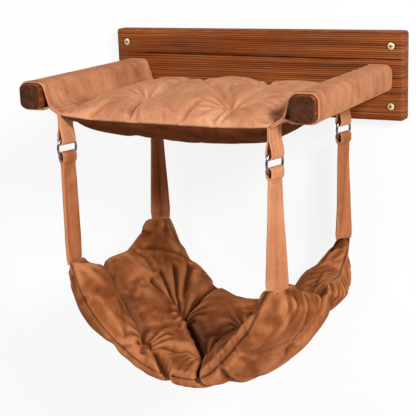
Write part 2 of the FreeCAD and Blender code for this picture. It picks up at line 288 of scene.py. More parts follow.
class Shader:
    """A node material around one Principled shader."""

    def __init__(self, name, **values):
        self.material = bpy.data.materials.new(name)
        self.material.use_nodes = True
        self.tree = self.material.node_tree
        self.bsdf = self.tree.nodes["Principled BSDF"]
        for key, value in values.items():
            self.bsdf.inputs[key.replace("_", " ")].default_value = value

    def node(self, kind, settings=None, **inputs):
        node = self.tree.nodes.new("ShaderNode" + kind)
        for key, value in (settings or {}).items():
            setattr(node, key, value)
        for key, value in inputs.items():
            self.put(node.inputs[int(key[1:]) if key[0] == "_" else key.replace("_", " ")], value)
        return node

    def put(self, socket, value):
        if isinstance(value, bpy.types.NodeSocket):
            self.tree.links.new(value, socket)
        else:
            socket.default_value = value

    def places(self, scale):
        """The object's own coordinates, stretched."""
        coordinates = self.node("TexCoord").outputs["Object"]
        return self.node("Mapping", Vector=coordinates, Scale=scale).outputs["Vector"]

    def noise(self, scale, size, detail=3.0, roughness=0.55, distortion=0.0):
        texture = self.node(
            "TexNoise", Vector=self.places(scale), Scale=size, Detail=detail,
            Roughness=roughness, Distortion=distortion,
        )
        return texture.outputs["Fac"]

    def ramp(self, value, stops):
        node = self.node("ValToRGB", Fac=value)
        marks = node.color_ramp.elements
        while len(marks) < len(stops):
            marks.new(0.5)
        for mark, (place, colour) in zip(marks, stops):
            mark.position = place
            mark.color = colour
        return node.outputs["Color"]

    def math(self, operation, a, b):
        return self.node("Math", {"operation": operation}, _0=a, _1=b).outputs[0]

    def sway(self, value, share):
        """A value from 0 to 1 as a change around zero."""
        return self.math("MULTIPLY", self.math("SUBTRACT", value, 0.5), share)

    def weighed(self, a, b, share):
        """Two values added: the first at a share, the second at the rest."""
        return self.math("ADD", self.math("MULTIPLY", a, share), self.math("MULTIPLY", b, 1 - share))

    def blend(self, share, a, b, mode="MIX"):
        node = self.node("Mix", {"data_type": "RGBA", "blend_type": mode})
        self.put(node.inputs[0], share)
        self.put(node.inputs[6], a)
        self.put(node.inputs[7], b)
        return node.outputs[2]

    def bump(self, height, strength, distance):
        node = self.node("Bump", Height=height, Strength=strength, Distance=distance)
        self.tree.links.new(node.outputs["Normal"], self.bsdf.inputs["Normal"])

    def colour(self, value):
        self.put(self.bsdf.inputs["Base Color"], value)


def velvet(name, dark, middle, light, brush, ridge=2.0):
    """Short pile cloth: brushed patches and streaks, painted light and shade from the surface's
    curvature, painted shade at seams and in folds, and a soft sheen.
    """
    deep = dimmed(dark, 0.55)
    shader = Shader(
        name, Roughness=0.9, Specular_IOR_Level=0.1, Sheen_Weight=0.5, Sheen_Roughness=0.35,
        Sheen_Tint=light,
    )
    patches = shader.noise(EVEN, 17.0, 3.0, 0.6, 0.4)
    streaks = shader.noise(brush, 34.0, 3.0, 0.6)
    fine = shader.noise(EVEN, 420.0, 2.0)
    mixed = shader.weighed(patches, streaks, 0.5)
    # Painted light and shade: lighter where the surface bulges, darker in its hollows, down to the
    # deep stop; ridge sets how strong it is.
    curvature_painted_light_and_shade = shader.sway(shader.node("NewGeometry").outputs["Pointiness"], ridge)
    stops = [(0.2, deep), (0.35, dark), (0.5, middle), (0.68, light)]
    base = shader.ramp(shader.math("ADD", mixed, curvature_painted_light_and_shade), stops)
    flecks = shader.ramp(fine, [(0.3, (0.9, 0.9, 0.9, 1)), (0.7, (1.08, 1.08, 1.08, 1))])
    base = shader.blend(1.0, base, flecks, "MULTIPLY")
    # Painted shade: darker along the seams' groove and in the folds that the shade mark covers.
    for mark, start, end, share in (("seam", 0.7, 0.95, 0.35), ("shade", 0.0, 1.0, 0.3)):
        value = shader.node("Attribute", {"attribute_name": mark}).outputs["Fac"]
        painted_shade_colour = (share, share * 0.92, share * 0.85, 1)
        tint = shader.ramp(value, [(start, (1, 1, 1, 1)), (end, painted_shade_colour)])
        base = shader.blend(1.0, base, tint, "MULTIPLY")
    shader.colour(base)
    shader.bump(shader.noise(EVEN, 900.0, 2.0), 0.25, 0.0006)
    return shader.material


def plain_metal(name, colour, roughness):
    shader = Shader(name, Metallic=1.0, Roughness=roughness)
    worn = shader.noise(EVEN, 240.0, 4.0)
    shader.colour(shader.ramp(worn, [(0.35, dimmed(colour, 0.8)), (0.65, colour)]))
    shader.bump(shader.noise(EVEN, 500.0, 2.0), 0.12, 0.0003)
    return shader.material


def screw_brass():
    """Pale plated heads, with painted shade in the cross and at the rim: darker brass where the head
    lies deeper.
    """
    shader = Shader("pale_brass", Metallic=0.35, Roughness=0.38)
    depth = shader.node("SeparateXYZ", Vector=shader.places(EVEN)).outputs["Y"]
    # Painted shade: 1 on the head's top face, falling to 0 down in the cross and at the rim.
    high = shader.node(
        "MapRange", Value=depth, From_Min=-0.0187, From_Max=-0.0181, To_Min=1.0, To_Max=0.0,
    ).outputs["Result"]
    worn = shader.noise(EVEN, 700.0, 3.0)
    pale = shader.ramp(worn, [(0.3, linear(226, 206, 160)), (0.7, linear(248, 238, 208))])
    shader.colour(shader.blend(high, linear(142, 98, 28), pale))
    shader.bump(shader.noise(EVEN, 1500.0, 2.0), 0.1, 0.0003)
    return shader.material


def board_wood():
    """Stained board: broad lines from the grain attribute, regular growth rings, dark pores."""
    shader = Shader("stained_board", Roughness=0.6, Specular_IOR_Level=0.15)
    grain = shader.node("Attribute", {"attribute_name": "grain"}).outputs["Fac"]
    edge_wear_and_painted_highlight = shader.node("Attribute", {"attribute_name": "edge_wear_and_painted_highlight"}).outputs["Fac"]
    pores = shader.noise((0.05, 1, 1), 900.0, 3.0, 0.6)
    patches = shader.noise((0.16, 1, 1), 34.0, 3.0, 0.6, 0.6)
    rings = shader.node(
        "TexWave", {"bands_direction": "Z"}, Vector=shader.places((0.05, 1, 1)), Scale=115.0,
        Distortion=3.5, Detail=3.0, Detail_Scale=0.8, Detail_Roughness=0.6,
    ).outputs["Fac"]
    lines = grain
    for value, share in ((rings, 0.36), (pores, 0.3), (patches, 0.4)):
        lines = shader.math("ADD", lines, shader.sway(value, share))
    base = shader.ramp(
        lines,
        [
            (0.0, linear(30, 12, 4)), (0.28, linear(80, 36, 12)), (0.52, linear(122, 62, 27)),
            (0.8, linear(150, 82, 38)), (1.0, linear(184, 112, 60)),
        ],
    )
    # Lighter along the rounded edges: wear with nicks, and a painted highlight where the edges catch
    # the light.
    shader.colour(shader.blend(edge_wear_and_painted_highlight, base, linear(172, 108, 66)))
    shader.bump(pores, 0.2, 0.0006)
    return shader.material


def arm_wood():
    """Stained bar: long grain on its sides, dark end grain with saw marks on its front end."""
    shader = Shader("stained_arm", Roughness=0.65, Specular_IOR_Level=0.1)
    lines = shader.noise((1, 0.04, 1), 330.0, 3.0, 0.6)
    stops = [(0.3, linear(78, 36, 15)), (0.55, linear(128, 66, 30)), (0.75, linear(160, 90, 45))]
    side = shader.ramp(lines, stops)
    saw_turn = (0, math.radians(38), 0)
    turn = shader.node("Mapping", Vector=shader.places(EVEN), Rotation=saw_turn).outputs["Vector"]
    saw = shader.node("Mapping", Vector=turn, Scale=(1, 1, 0.12)).outputs["Vector"]
    marks = shader.node("TexNoise", Vector=saw, Scale=900.0, Detail=3.0, Roughness=0.6)
    clouds = shader.noise(EVEN, 120.0, 3.0)
    tone = shader.weighed(marks.outputs["Fac"], clouds, 0.6)
    stops = [(0.36, linear(48, 25, 15)), (0.5, linear(74, 41, 26)), (0.64, linear(100, 60, 40))]
    end = shader.ramp(tone, stops)
    normal = shader.node("TexCoord").outputs["Normal"]
    facing = shader.node("SeparateXYZ", Vector=normal).outputs["Y"]
    front = shader.node("MapRange", Value=facing, From_Min=-0.6, From_Max=-0.9).outputs["Result"]
    shader.colour(shader.blend(front, side, end))
    shader.bump(tone, 0.25, 0.0006)
    return shader.material


def thread_material(name, colour):
    shader = Shader(name, Roughness=0.75, Specular_IOR_Level=0.2)
    twist = shader.noise(EVEN, 2600.0, 2.0)
    shader.colour(shader.ramp(twist, [(0.35, dimmed(colour, 0.6)), (0.65, colour)]))
    shader.bump(twist, 0.3, 0.0003)
    return shader.material


SEAT_VELVET = velvet(
    "seat_velvet", linear(180, 114, 78), linear(198, 134, 97), linear(216, 156, 119),
    (1.0, 0.12, 1.0), 4.0,
)
SLEEVE_VELVET = velvet(
    "sleeve_velvet", linear(162, 98, 63), linear(194, 129, 92), linear(214, 150, 112),
    (0.9, 1.5, 0.9), 1.0,
)
STRAP_VELVET = velvet(
    "strap_velvet", linear(176, 111, 74), linear(194, 129, 91), linear(210, 146, 107),
    (2.4, 2.4, 0.15),
)
# A darker copy of the strap velvet: painted shade for every strap but the front right one.
STRAP_PAINTED_SHADE = velvet(
    "strap_painted_shade_velvet", linear(140, 80, 47), linear(164, 98, 61), linear(190, 124, 85),
    (2.4, 2.4, 0.15),
)
HAMMOCK_VELVET = velvet(
    "hammock_velvet", linear(120, 63, 31), linear(146, 82, 45), linear(186, 118, 76),
    (1.0, 1.0, 0.4), 5.0,
)
# A darker copy of the seat velvet: painted shade on the seat's underside.
UNDER_PAINTED_SHADE_VELVET = velvet(
    "under_painted_shade_velvet", linear(84, 40, 16), linear(98, 48, 20), linear(112, 57, 26),
    (1.0, 0.3, 1.0),
)
BOARD_WOOD = board_wood()
ARM_WOOD = arm_wood()
BRASS = screw_brass()
STEEL = plain_metal("screw_steel", linear(178, 176, 170), 0.35)
NICKEL = plain_metal("ring_nickel", linear(128, 126, 126), 0.25)
THREAD = thread_material("velvet_thread", linear(150, 88, 52))


# Wall board


def rounded_block_point(places):
    """Places on a sharp block moved onto the board's eased front edges and corners."""
    width, depth, height = BOARD
    low = np.array([BOARD_ROUND - width / 2, BOARD_ROUND - depth, BOARD_ROUND - height / 2])
    high = np.array([width / 2 - BOARD_ROUND, 0.0, height / 2 - BOARD_ROUND])
    inner = np.clip(places, low, high)
    out = places - inner
    length = np.linalg.norm(out, axis=-1, keepdims=True)
    return inner + out * np.minimum(1, BOARD_ROUND / np.maximum(length, 1e-9)), unit(out)


def block_faces(steps):
    """The six sides of the board's block as grids of places."""
    size = np.array(BOARD)
    low = np.array([-size[0] / 2, -size[1], -size[2] / 2])
    marks = [np.linspace(low[k], low[k] + size[k], int(size[k] / steps[k]) + 1) for k in range(3)]
    for axis in range(3):
        u, v = [k for k in range(3) if k != axis]
        for at in (marks[axis][0], marks[axis][-1]):
            grid = np.zeros((len(marks[u]), len(marks[v]), 3))
            grid[..., axis] = at
            grid[..., u] = marks[u][:, None]
            grid[..., v] = marks[v][None, :]
            yield grid


def board_grain(x, y, z):
    """Grain from 0, a dark line, to 1: long lines that wander a little along the board."""
    wander = z + 2.4 * rough(x / 170, z / 40, 3.1) + 0.7 * rough(x / 45, z / 11, 7.7)
    lines = rough(x / 420, wander / 1.3, 0.5 + y / 40)
    broad = rough(x / 300, wander / 7.5, 11.3)
    thin = bell(rough(x / 520, wander / 3.4, 2.9 + y / 40), 0.1)
    thin = thin * (0.75 + 0.5 * rough(x / 60, wander / 9, 6.1))
    return np.clip(0.64 + 0.34 * lines + 0.14 * broad - 0.22 * np.maximum(thin, 0), 0, 1)


BOARD_STEPS = (2.6, 1.2, 0.72)
RIB_HEIGHT, RIB_LEVEL, GROOVE_DEPTH = 0.45, 0.62, 2.0
# Holes as radii and depths, from the side that the screw is driven in
HOLE_SIDES, HOLE_END = 32, BOARD[1] + 3
WALL_HOLE = ((5.6, -3.0), (5.25, 0.0), (2.75, 2.5), (2.75, HOLE_END))
ARM_HOLE = ((4.75, -3.0), (4.75, 0.5), (2.5, 2.75), (2.5, HOLE_END))
ARM_SCREW_Z = 7.0


def board_piece():
    parts, grain, edge_wear_and_painted_highlight = [], [], []
    for grid in block_faces(BOARD_STEPS):
        points, normals = rounded_block_point(grid)
        x, y, z = points[..., 0], points[..., 1], points[..., 2]
        value = board_grain(x, y, z)
        front = np.maximum(0, -normals[..., 1])
        crack = bell(z - GROOVE_Z - 0.9 * rough(x / 90, 0.3, 5.5) + 0.006 * x, 1.0)
        crack *= ease(-205, -150, x) * (0.72 + 0.28 * rough(x / 30, 4.4, 1.2)) * front
        relief = RIB_HEIGHT * (value - RIB_LEVEL)
        points = points + normals * (np.minimum(relief, 0.0) - GROOVE_DEPTH * crack)[..., None]
        edge = 1 - np.max(np.abs(normals), axis=-1)
        rows, columns = grid.shape[:2]
        parts.append((points.reshape(-1, 3), grid_faces(rows, columns)))
        # The grain is darkened along the crack: painted shade in the groove.
        grain.append((value * (1 - np.minimum(1.2 * crack, 1))).ravel())
        # Edge mark: wear with nicks, and a painted highlight on the rounded edges.
        nicks = ease(-0.2, 0.5, rough(x / 14, y / 6, z / 5))
        edge_wear_and_painted_highlight.append((np.clip(edge * 2.2, 0, 1) * nicks * 0.55).ravel())
    points, faces = joined(parts)
    board = mesh_object("board", points, faces, BOARD_WOOD)
    mark_points(board, "grain", np.concatenate(grain))
    mark_points(board, "edge_wear_and_painted_highlight", np.concatenate(edge_wear_and_painted_highlight))
    merge_points(board, 0.05)
    outward(board)
    drill(board)
    return fitted(board, "wall_frame", "stained_wood", "wall_board")


def turned_points(profile, sides, place, toward_wall):
    """A closed turned shape: (radius, depth) pairs from end to end, along the wall's axis."""
    points = []
    for radius, depth in profile:
        for k in range(sides):
            a = 2 * math.pi * k / sides
            y = depth if toward_wall else -depth
            across, up = radius * math.cos(a), radius * math.sin(a)
            points.append((place[0] + across, place[1] + y, place[2] + up))
    return points, tube_faces(len(profile), sides)


def screw_places():
    return [(x * SCREW_X, z * SCREW_Z) for x in (-1, 1) for z in (-1, 1)]


def drill(board):
    """Cuts the screws' countersunk holes through the board."""
    holes = [
        turned_points(WALL_HOLE, HOLE_SIDES, (x, -BOARD[1], z), True) for x, z in screw_places()
    ]
    for x in (-ARM_X, ARM_X):
        for z in (-ARM_SCREW_Z, ARM_SCREW_Z):
            holes.append(turned_points(ARM_HOLE, HOLE_SIDES, (x, 0, ARM_Z + z), False))
    cutter = mesh_object("cutter", *joined(holes), BOARD_WOOD)
    outward(cutter)
    cut = board.modifiers.new("holes", "BOOLEAN")
    cut.object = cutter
    cut.solver = "EXACT"
    keep_result(board)
    bpy.data.objects.remove(cutter)


def keep_result(obj):
    """Makes what an object's modifiers give its own mesh."""
    graph = bpy.context.evaluated_depsgraph_get()
    made = bpy.data.meshes.new_from_object(obj.evaluated_get(graph), depsgraph=graph)
    obj.modifiers.clear()
    old = obj.data
    obj.data = made
    made.name = obj.name
    bpy.data.meshes.remove(old)


# Screws


THREAD_CORE, THREAD_CREST, THREAD_PITCH = 1.75, 2.5, 2.4
THREAD_END, POINT_START = 42.0, 35.0
THREAD_SIDES, THREAD_STEP, THREAD_FLANK = 20, 0.3, 0.28


def thread_points(x, z):
    """A screw's threaded shank beyond the wall plane, running out to its point."""
    steps = np.arange(0.0, THREAD_END + 0.01, THREAD_STEP)
    points = []
    for depth in steps:
        taper = 1 - ease(POINT_START, THREAD_END + 1, np.array(depth)) * 0.97
        for k in range(THREAD_SIDES):
            turn = k / THREAD_SIDES
            phase = (depth / THREAD_PITCH - turn) % 1.0
            ridge = max(0.0, 1 - abs(phase - 0.5) / THREAD_FLANK)
            radius = (THREAD_CORE + (THREAD_CREST - THREAD_CORE) * ridge) * taper
            a = 2 * math.pi * turn
            points.append((x + radius * math.cos(a), depth, z + radius * math.sin(a)))
    return points, tube_faces(len(steps), THREAD_SIDES)


def wall_screws():
    """The frame's own heads and necks, with a cut thread in place of the plain shank."""
    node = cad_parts["wall_screws"]
    points = coordinates(node)
    kept = np.where(points[:, 1] < 0.01)[0]
    new = {old: i for i, old in enumerate(kept)}
    faces = [
        tuple(new[i] for i in poly.vertices)
        for poly in node.data.polygons
        if all(i in new for i in poly.vertices)
    ]
    parts = [(points[kept], faces)] + [thread_points(x, z) for x, z in screw_places()]
    screws = mesh_object("wall_screws_threaded", *joined(parts), BRASS)
    merge_points(screws, 0.01)
    screws.data.set_sharp_from_angle(angle=math.radians(35))
    fitted(screws, "wall_frame", "brass_screw", "wall_screws")


# Sleeves


SLEEVE_GROWN = ARM_HALF + CLOTH_FIT + CLOTH / 2
SLEEVE_ROUND = 8.75
HEM_LINES = (3.2, 8.0)
SEAM_LINES = (4.0, 11.0)
HEM_DEPTH, HEM_EXTRA = 9.0, 0.25


def sleeve_profile():
    """The cloth's middle line round an arm, from the seat's seam over it and back under it."""
    left, right = ARM_X - SLEEVE_GROWN, ARM_X + SLEEVE_GROWN
    low, high = ARM_Z - SLEEVE_GROWN, ARM_Z + SLEEVE_GROWN
    tail = unit(np.array([SEAT_X - SEAM_X, SEAT_Z - SEAM_Z]))
    up = np.array([tail[1], -tail[0]])
    end, seam = np.array([SEAT_X, SEAT_Z]), np.array([SEAM_X, SEAM_Z])
    half = up * CLOTH * 0.52
    corners = [
        end + half, seam + half, (left, high), (right, high), (right, low), (left + 3.0, low),
        seam - half, end - half,
    ]
    return rounded_path(corners, (5.0, *[SLEEVE_ROUND] * 4, 4.0), 1.6)


def sleeve(name, side):
    path = sleeve_profile()
    stations = np.linspace(SLEEVE_FRONT, SLEEVE_BACK, 100)
    runs = run_lengths(path)
    way = unit(np.gradient(path, axis=0))
    out = np.stack([-way[:, 1], way[:, 0]], axis=1)
    # the free inner wall, between the seat's seam and the arm's top
    wall = ease(16, 24, runs) * (1 - ease(44, 54, runs))
    under = ease(150, 160, runs) * (1 - ease(172, 178, runs))
    grid = np.zeros((len(path), len(stations), 3))
    seed = 0.0 if side < 0 else 40.0
    for j, y in enumerate(stations):
        lean = runs * 0.16
        folds = rough((y + lean) / 9.0 + seed, runs / 70.0, 2.2)
        folds = folds + 0.6 * rough((y - lean) / 4.6 + seed, runs / 55.0, 9.2)
        slack = 0.8 + 0.5 * bell(y - SLEEVE_FRONT, 70)
        lift = wall * (folds * slack - 0.4) + under * 0.5 * folds
        lift = lift + 0.16 * rough(y / 14 + seed, runs / 30, 4.0)
        lift = np.where(wall + under > 0.02, lift, np.maximum(lift, -0.1))
        place = path + out * lift[:, None]
        grid[:, j, 0] = place[:, 0] * side
        grid[:, j, 1] = y
        grid[:, j, 2] = place[:, 1]
    hem = 1 - ease(HEM_DEPTH - 0.4, HEM_DEPTH + 0.4, stations - SLEEVE_FRONT)
    thickness = CLOTH + HEM_EXTRA * hem[None, :]
    cloth = mesh_object(f"{name}_cloth", *slab(grid, thickness), SLEEVE_VELVET)
    fitted(cloth, "sling", "velvet", name)
    rows = []
    away = np.stack([out[:, 0] * side, 0 * out[:, 0], out[:, 1]], axis=1)[:, None, :]
    normals = surface_normals(grid)
    normals *= np.sign(np.sum(normals * away, axis=-1, keepdims=True))
    for line in HEM_LINES:
        j = int(np.argmin(np.abs(stations - SLEEVE_FRONT - line)))
        rows.append(stitch_row(grid[:, j] + normals[:, j] * 1.1, normals[:, j]))
    for line in SEAM_LINES:
        i = int(np.argmin(np.abs(runs - line)))
        rows.append(stitch_row(grid[i] + normals[i] * 0.85, normals[i]))
    thread = mesh_object(f"{name}_stitching", *joined(rows), THREAD)
    fitted(thread, "sling", "thread")


# Padded pieces


PAD_MARKS = ("along", "across", "panel")
OTHER_PANEL = 1000
TIE_RADIUS, CROSS_RADIUS, CROSS_HALF = 1.2, 0.45, 2.2
CLOTH_SETTINGS = {
    "quality": 6, "mass": 0.3, "tension_stiffness": 25, "compression_stiffness": 25,
    "shear_stiffness": 8, "use_pressure": True, "pin_stiffness": 1.0,
}


def share_grids(rows, columns):
    """Shares from -1 to 1 along and across a pad, as grids."""
    return np.meshgrid(np.linspace(-1, 1, rows), np.linspace(-1, 1, columns), indexing="ij")


def swell(share, power):
    return (1 - np.minimum(np.abs(share), 1.0) ** power) ** (1 / power)


def pad_mesh(name, middle, upper, lower, shares, material):
    """A pad of two sewn panels from grids of points: they share the points of their edge.
    Each point carries its shares along and across the pad, and its panel: 1 above, -1 below."""
    rows, columns = middle.shape[:2]
    count = rows * columns
    inside = np.zeros((rows, columns), bool)
    inside[1:-1, 1:-1] = True
    under_of = np.arange(count).reshape(rows, columns)
    under_of[inside] = count + np.arange(inside.sum())
    above = np.where(inside[..., None], upper, middle)
    points = np.concatenate([above.reshape(-1, 3), lower[inside]])
    faces = grid_faces(rows, columns)
    for face in grid_faces(rows, columns, 0, True):
        faces.append(tuple(int(under_of[i // columns, i % columns]) for i in face))
    pad = mesh_object(name, points, faces, material)
    panel = np.concatenate([np.where(inside, 1.0, 0.0).ravel(), -np.ones(inside.sum())])
    values = [np.concatenate([share.ravel(), share[inside]]) for share in shares] + [panel]
    for key, value in zip(PAD_MARKS, values):
        mark_points(pad, key, value)
    return pad, under_of


def pad_marks(pad):
    """What pad_mesh wrote on each point, taken off the mesh."""
    marks = []
    for key in PAD_MARKS:
        values = np.zeros(len(pad.data.vertices))
        pad.data.attributes[key].data.foreach_get("value", values)
        marks.append(values)
        pad.data.attributes.remove(pad.data.attributes[key])
    # Seam mark, 1 on the sewn edge, along which the velvet paints shade
    mark_points(pad, "seam", 1 - np.abs(marks[-1]))
    return marks


def point_normals(obj):
    normals = np.zeros(len(obj.data.vertices) * 3)
    obj.data.vertices.foreach_get("normal", normals)
    return normals.reshape(-1, 3)


def crease(distance, depth, width):
    """A sharp fold with a soft roll on each side of it."""
    roll = 0.4 * depth * bell(distance - 2.4 * width, 1.4 * width)
    return roll - depth * np.exp(-distance / width)


def pleats(u, v, places, counts, height, reach):
    """Fine folds that run out from each tuft."""
    lift = np.zeros_like(u)
    for (at_u, at_v), count in zip(places, counts):
        angle = np.arctan2(v - at_v, u - at_u)
        distance = np.hypot(u - at_u, v - at_v)
        wave = np.sin(count * angle + 1.6 * np.sin(2 * angle + count))
        lift += height * wave * ease(2, 9, distance) * (1 - ease(0.3 * reach, reach, distance))
    return lift


def tuft_points(places, u, v, panel):
    """The points nearest to each tuft: one on the upper panel, one on the lower."""
    pairs = []
    for at_u, at_v in places:
        spot = np.hypot(u - at_u, v - at_v)
        top = int(np.argmin(spot + OTHER_PANEL * (panel < 0.9)))
        pairs.append((top, int(np.argmin(spot + OTHER_PANEL * (panel > -0.9)))))
    return pairs


def tufting(name, body, node, pad, pairs):
    """A pad's thread ties, from each tuft below to the one above, with a cross stitch on top."""
    points, normals = coordinates(pad), point_normals(pad)
    parts = []
    for top, under in pairs:
        way = unit(points[top] - points[under])
        low, high = points[under] + way * 0.6, points[top] - way * 0.6
        side = unit(np.cross(way, (0.3, 1.0, 0.1)))
        parts.append(rod(low, high, TIE_RADIUS))
        for turn in (side, unit(np.cross(way, side))):
            middle = points[top] + normals[top] * 0.2
            parts.append(rod(middle - turn * CROSS_HALF, middle + turn * CROSS_HALF, CROSS_RADIUS))
    ties = mesh_object(name, *joined(parts), THREAD)
    fitted(ties, body, "thread", node)


def rod(start, end, radius, sides=8):
    """A straight closed rod."""
    way = unit(end - start)
    side = unit(np.cross(way, (0.31, 0.17, 0.94)))
    other = np.cross(way, side)
    angles = np.linspace(0, 2 * math.pi, sides, endpoint=False)
    ring = np.array([side * math.cos(a) + other * math.sin(a) for a in angles]) * radius
    return np.concatenate([start + ring, end + ring]), tube_faces(2, sides)


def coordinates(obj):
    points = np.zeros(len(obj.data.vertices) * 3)
    obj.data.vertices.foreach_get("co", points)
    return points.reshape(-1, 3) / MM


def set_coordinates(obj, points):
    obj.data.vertices.foreach_set("co", (points * MM).ravel())
    obj.data.update()


def settle(obj, pins, frames, pressure, slack, bending, cap):
    """Blows a pad up as cloth that is cut a little too large, and keeps the last frame."""
    outward(obj)
    start = coordinates(obj)
    group = obj.vertex_groups.new(name="pinned")
    for index, weight in enumerate(pins):
        if weight > 0:
            group.add([index], float(weight), "REPLACE")
    cloth = obj.modifiers.new("cloth", "CLOTH")
    settings = cloth.settings
    for key, value in CLOTH_SETTINGS.items():
        setattr(settings, key, value)
    settings.bending_stiffness = bending
    settings.uniform_pressure_force = pressure
    settings.shrink_min = -slack
    settings.vertex_group_mass = "pinned"
    settings.effector_weights.gravity = 0
    cloth.collision_settings.use_collision = False
    cloth.point_cache.frame_start = 1
    cloth.point_cache.frame_end = frames
    for number in range(1, frames + 1):
        scene.frame_set(number)
    keep_result(obj)
    scene.frame_set(1)
    obj.vertex_groups.clear()
    moved = coordinates(obj) - start
    length = np.linalg.norm(moved, axis=1, keepdims=True)
    set_coordinates(obj, start + moved * np.minimum(1, cap / np.maximum(length, 1e-6)))


def subdivided(obj, creased):
    """One smooth subdivision, with the sewn edge kept crisp."""
    bm = bmesh.new()
    bm.from_mesh(obj.data)
    layer = bm.edges.layers.float.new("crease_edge")
    for edge in bm.edges:
        if edge.verts[0].index in creased and edge.verts[1].index in creased:
            edge[layer] = 0.8
    bm.to_mesh(obj.data)
    bm.free()
    modifier = obj.modifiers.new("smooth", "SUBSURF")
    modifier.levels = 1
    modifier.render_levels = 1
    keep_result(obj)
    obj.data.polygons.foreach_set("use_smooth", [True] * len(obj.data.polygons))


# Sling seat


SEAT_TUFTS = ((-54.0, -86.0), (-61.0, -188.0), (49.0, -86.0), (70.0, -220.0))
SEAT_TUFT_TOPS = (-13.5, -16.5, -13.5, -17.0)
SEAT_ROWS, SEAT_COLUMNS = 76, 86
SEAT_TUFT_UNDER = -53.0
SEAT_CROWN, SEAT_BELLY, SEAT_SAG = 24.0, 22.0, 5.0
# Gathers of the top panel: their ends, their depth and their width
SEAT_GATHERS = (
    ((-42.0, -262.0), (-59.0, -194.0), 4.5, 6.0),
    ((-34.0, -262.0), (-40.0, -228.0), 2.5, 4.0),
    ((26.0, -262.0), (30.0, -225.0), 3.0, 5.0),
    ((66.0, -262.0), (68.0, -220.0), 4.0, 5.0),
    ((76.0, -262.0), (80.0, -236.0), 2.5, 4.0),
    ((-95.0, -262.0), (-84.0, -238.0), 2.0, 6.0),
    ((-54.0, -86.0), (-48.0, -26.0), 8.0, 7.0),
    ((49.0, -86.0), (36.0, -26.0), 7.0, 6.0),
    ((-54.0, -86.0), (10.0, -150.0), 4.5, 10.0),
    ((10.0, -150.0), (70.0, -220.0), 5.0, 10.0),
    ((49.0, -86.0), (100.0, -130.0), 3.5, 9.0),
    ((-61.0, -188.0), (-20.0, -160.0), 3.0, 8.0),
)
SEAT_PLEATS = (11, 13, 10, 12)


def plan_distance(x, y, start, end):
    """Distance from a straight line in plan."""
    way = np.array(end) - np.array(start)
    share = np.clip(((x - start[0]) * way[0] + (y - start[1]) * way[1]) / (way @ way), 0, 1)
    return np.hypot(x - start[0] - share * way[0], y - start[1] - share * way[1])


def seat_pad():
    along, across = share_grids(SEAT_ROWS, SEAT_COLUMNS)
    draw = 5 * (1 - across**2)
    x = across * (SEAT_X - 0.5)
    y = (SEAT_FRONT + SEAT_BACK) / 2 + along * ((SEAT_BACK - SEAT_FRONT) / 2 - draw)
    z = SEAT_Z - SEAT_SAG * (1 - across**4) + 0 * along
    middle = np.stack([x, y, z], axis=-1)
    upper, lower = middle.copy(), middle.copy()
    upper[..., 2] += SEAT_CROWN * swell(across, 2.6) * swell(along, 2.4)
    upper[..., 2] += 7.0 * bell(y + 58.0, 30.0) * swell(across, 2.6) * swell(along, 2.4)
    lower[..., 2] -= SEAT_BELLY * swell(across, 3.0) * swell(along, 2.2)
    for start, end, depth, width in SEAT_GATHERS:
        crown = upper[..., 2] - z
        fold = bell(plan_distance(x, y, start, end), width)
        upper[..., 2] -= np.minimum(depth, crown * 0.6) * fold
    pins = np.zeros((SEAT_ROWS, SEAT_COLUMNS))
    pins[:, 0] = pins[:, -1] = 1.0
    pins[0, :] = pins[-1, :] = 0.95
    for (tuft_x, tuft_y), top in zip(SEAT_TUFTS, SEAT_TUFT_TOPS):
        distance = np.hypot(x - tuft_x, y - tuft_y)
        dent = 0.75 * bell(distance, 11.0) + 0.25 * bell(distance, 34.0)
        upper[..., 2] = mix(upper[..., 2], top, dent)
        lower[..., 2] = mix(lower[..., 2], SEAT_TUFT_UNDER, bell(distance, 13.0))
        pins[distance < 4.2] = 1.0
    pad, under_of = pad_mesh("seat_pad", middle, upper, lower, (along, across), SEAT_VELVET)
    weights = np.zeros(len(pad.data.vertices))
    weights[: pins.size] = pins.ravel()
    weights[under_of.ravel()] = np.maximum(weights[under_of.ravel()], pins.ravel())
    edge = {i * SEAT_COLUMNS + j for i, j in border(SEAT_ROWS, SEAT_COLUMNS)}
    mark_under(pad)
    settle(pad, weights, 22, 12.0, 0.035, 0.25, 12.0)
    subdivided(pad, edge)
    along, across, panel = pad_marks(pad)
    points = coordinates(pad)
    x, y = points[:, 0], points[:, 1]
    lift = pleats(x, y, SEAT_TUFTS, SEAT_PLEATS, 1.2, 62.0)
    for start, end, depth, width in SEAT_GATHERS:
        lift += crease(plan_distance(x, y, start, end), 0.3 * depth, 0.45 * width)
    lift *= np.clip(panel, 0, 1) * ease(0, 0.05, 1 - np.abs(across))
    points[:, 2] += lift
    set_coordinates(pad, points)
    pairs = tuft_points(SEAT_TUFTS, x, y, panel)
    fitted(pad, "sling", "velvet", "seat_cover", "seat_filling")
    tufting("seat_tufting", "sling", "seat_tuft_ties", pad, pairs)


def mark_under(pad):
    """Gives the seat's lower panel a darker copy of the velvet: painted shade on the underside."""
    pad.data.materials.append(UNDER_PAINTED_SHADE_VELVET)
    for poly in pad.data.polygons[(SEAT_ROWS - 1) * (SEAT_COLUMNS - 1):]:
        poly.material_index = 1


# Hammock


HAMMOCK_ROWS, HAMMOCK_COLUMNS = 62, 102
HAMMOCK_HALF_Y, HAMMOCK_MIDDLE_Y = 113.0, -147.0
HAMMOCK_HALF_ARC = 190.0
HAMMOCK_DEPTH, HAMMOCK_BELLY, HAMMOCK_TILT, HAMMOCK_POWER = 113.0, 8.0, 10.0, 2.4
